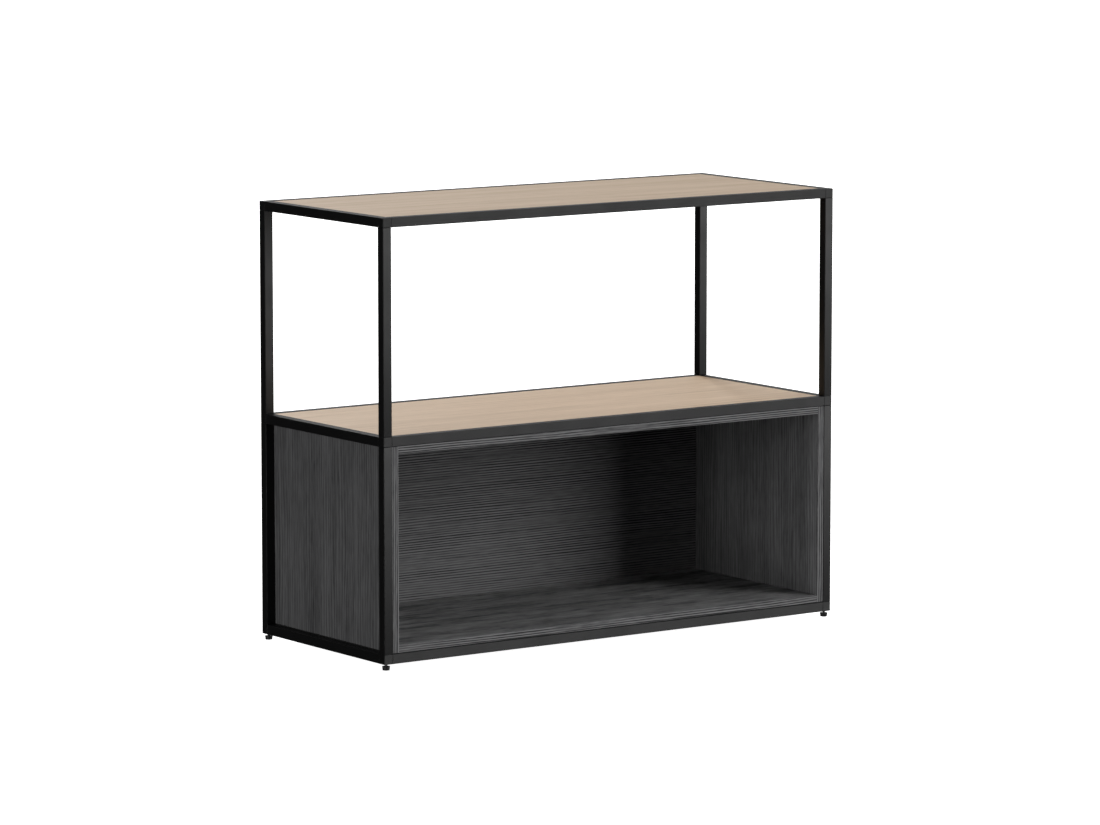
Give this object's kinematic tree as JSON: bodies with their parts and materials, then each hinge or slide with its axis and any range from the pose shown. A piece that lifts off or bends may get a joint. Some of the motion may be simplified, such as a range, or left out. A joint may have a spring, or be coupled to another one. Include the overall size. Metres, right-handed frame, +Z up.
{
  "type": "open shelving unit",
  "caption": "Free-standing two-tier shelf: black square-tube frame on levelling feet, inset oak shelves and an open-front charcoal cubby for storage.",
  "frame": {"origin": "centre of the footprint on the floor, under the four foot pads at their rest height", "axes": "+Z up, +X to the right-hand end seen from the open front, open front faces -Y"},
  "size_m": [1.2, 0.486, 0.965],
  "materials": {
    "frame_black": "fine satin powder coat",
    "oak_light": "matt light oak, grain along the width",
    "oak_charcoal": "matt charcoal-stained oak with open grain",
    "edge_band_charcoal": "grey grained edge band",
    "foot_steel": "black oxide",
    "foot_plastic": "moulded black plastic",
    "fastener_black": "black oxide",
    "fastener_steel": "zinc plated",
    "fastener_zinc": "die-cast zinc",
    "dowel_beech": "raw beech",
    "strip_rubber": "black rubber"
  },
  "bodies": {
    "frame": {"base_front_left_connector": "frame_black", "base_rear_left_connector": "frame_black", "base_front_right_connector": "frame_black", "base_rear_right_connector": "frame_black", "mid_front_left_connector": "frame_black", "mid_rear_left_connector": "frame_black", "mid_front_right_connector": "frame_black", "mid_rear_right_connector": "frame_black", "top_front_left_connector": "frame_black", "top_rear_left_connector": "frame_black", "top_front_right_connector": "frame_black", "top_rear_right_connector": "frame_black", "base_front_rail": "frame_black", "base_rear_rail": "frame_black", "mid_front_rail": "frame_black", "mid_rear_rail": "frame_black", "top_front_rail": "frame_black", "top_rear_rail": "frame_black", "base_left_rail": "frame_black", "base_right_rail": "frame_black", "mid_left_rail": "frame_black", "mid_right_rail": "frame_black", "top_left_rail": "frame_black", "top_right_rail": "frame_black", "lower_front_left_post": "frame_black", "lower_rear_left_post": "frame_black", "lower_front_right_post": "frame_black", "lower_rear_right_post": "frame_black", "upper_front_left_post": "frame_black", "upper_rear_left_post": "frame_black", "upper_front_right_post": "frame_black", "upper_rear_right_post": "frame_black", "top_shelf": "oak_light", "mid_shelf": "oak_light", "cubby_left_side": "oak_charcoal", "cubby_right_side": "oak_charcoal", "cubby_floor": "oak_charcoal", "cubby_ceiling": "oak_charcoal", "cubby_back": "oak_charcoal", "cubby_left_edge_band": "edge_band_charcoal", "cubby_right_edge_band": "edge_band_charcoal", "cubby_floor_edge_band": "edge_band_charcoal", "cubby_ceiling_edge_band": "edge_band_charcoal", "frame_set_screws": "fastener_black", "shelf_support_tabs": "frame_black", "shelf_screws": "fastener_steel", "cubby_dowels": "dowel_beech", "cubby_cam_bolts": "fastener_steel", "cubby_cams": "fastener_zinc", "cubby_seat_strips": "strip_rubber", "cubby_side_strips": "strip_rubber", "cubby_fixing_screws": "fastener_black"},
    "front_left_foot_pad": {"front_left_foot_pad": "foot_plastic"},
    "front_left_foot_stem": {"front_left_foot_stem": "foot_steel"},
    "rear_left_foot_pad": {"rear_left_foot_pad": "foot_plastic"},
    "rear_left_foot_stem": {"rear_left_foot_stem": "foot_steel"},
    "front_right_foot_pad": {"front_right_foot_pad": "foot_plastic"},
    "front_right_foot_stem": {"front_right_foot_stem": "foot_steel"},
    "rear_right_foot_pad": {"rear_right_foot_pad": "foot_plastic"},
    "rear_right_foot_stem": {"rear_right_foot_stem": "foot_steel"}
  },
  "joints": [
    {"name": "front_left_foot_travel", "type": "slide", "parent": "frame", "child": "front_left_foot_pad", "axis": [0, 0, -1], "range_m": [-0.004, 0.01]},
    {"name": "front_left_foot_turn", "type": "hinge", "parent": "front_left_foot_pad", "child": "front_left_foot_stem", "pos_m": [-0.5895, -0.2325, 0], "axis": [0, 0, -1], "range_deg": [-1441, 3601]},
    {"name": "rear_left_foot_travel", "type": "slide", "parent": "frame", "child": "rear_left_foot_pad", "axis": [0, 0, -1], "range_m": [-0.004, 0.01]},
    {"name": "rear_left_foot_turn", "type": "hinge", "parent": "rear_left_foot_pad", "child": "rear_left_foot_stem", "pos_m": [-0.5895, 0.2325, 0], "axis": [0, 0, -1], "range_deg": [-1441, 3601]},
    {"name": "front_right_foot_travel", "type": "slide", "parent": "frame", "child": "front_right_foot_pad", "axis": [0, 0, -1], "range_m": [-0.004, 0.01]},
    {"name": "front_right_foot_turn", "type": "hinge", "parent": "front_right_foot_pad", "child": "front_right_foot_stem", "pos_m": [0.5895, -0.2325, 0], "axis": [0, 0, -1], "range_deg": [-1441, 3601]},
    {"name": "rear_right_foot_travel", "type": "slide", "parent": "frame", "child": "rear_right_foot_pad", "axis": [0, 0, -1], "range_m": [-0.004, 0.01]},
    {"name": "rear_right_foot_turn", "type": "hinge", "parent": "rear_right_foot_pad", "child": "rear_right_foot_stem", "pos_m": [0.5895, 0.2325, 0], "axis": [0, 0, -1], "range_deg": [-1441, 3601]}
  ],
  "couplings": [
    {"joint": "front_left_foot_turn", "follows": "front_left_foot_travel", "rad_per_m": 6283.2},
    {"joint": "rear_left_foot_turn", "follows": "rear_left_foot_travel", "rad_per_m": 6283.2},
    {"joint": "front_right_foot_turn", "follows": "front_right_foot_travel", "rad_per_m": 6283.2},
    {"joint": "rear_right_foot_turn", "follows": "rear_right_foot_travel", "rad_per_m": 6283.2}
  ]
}
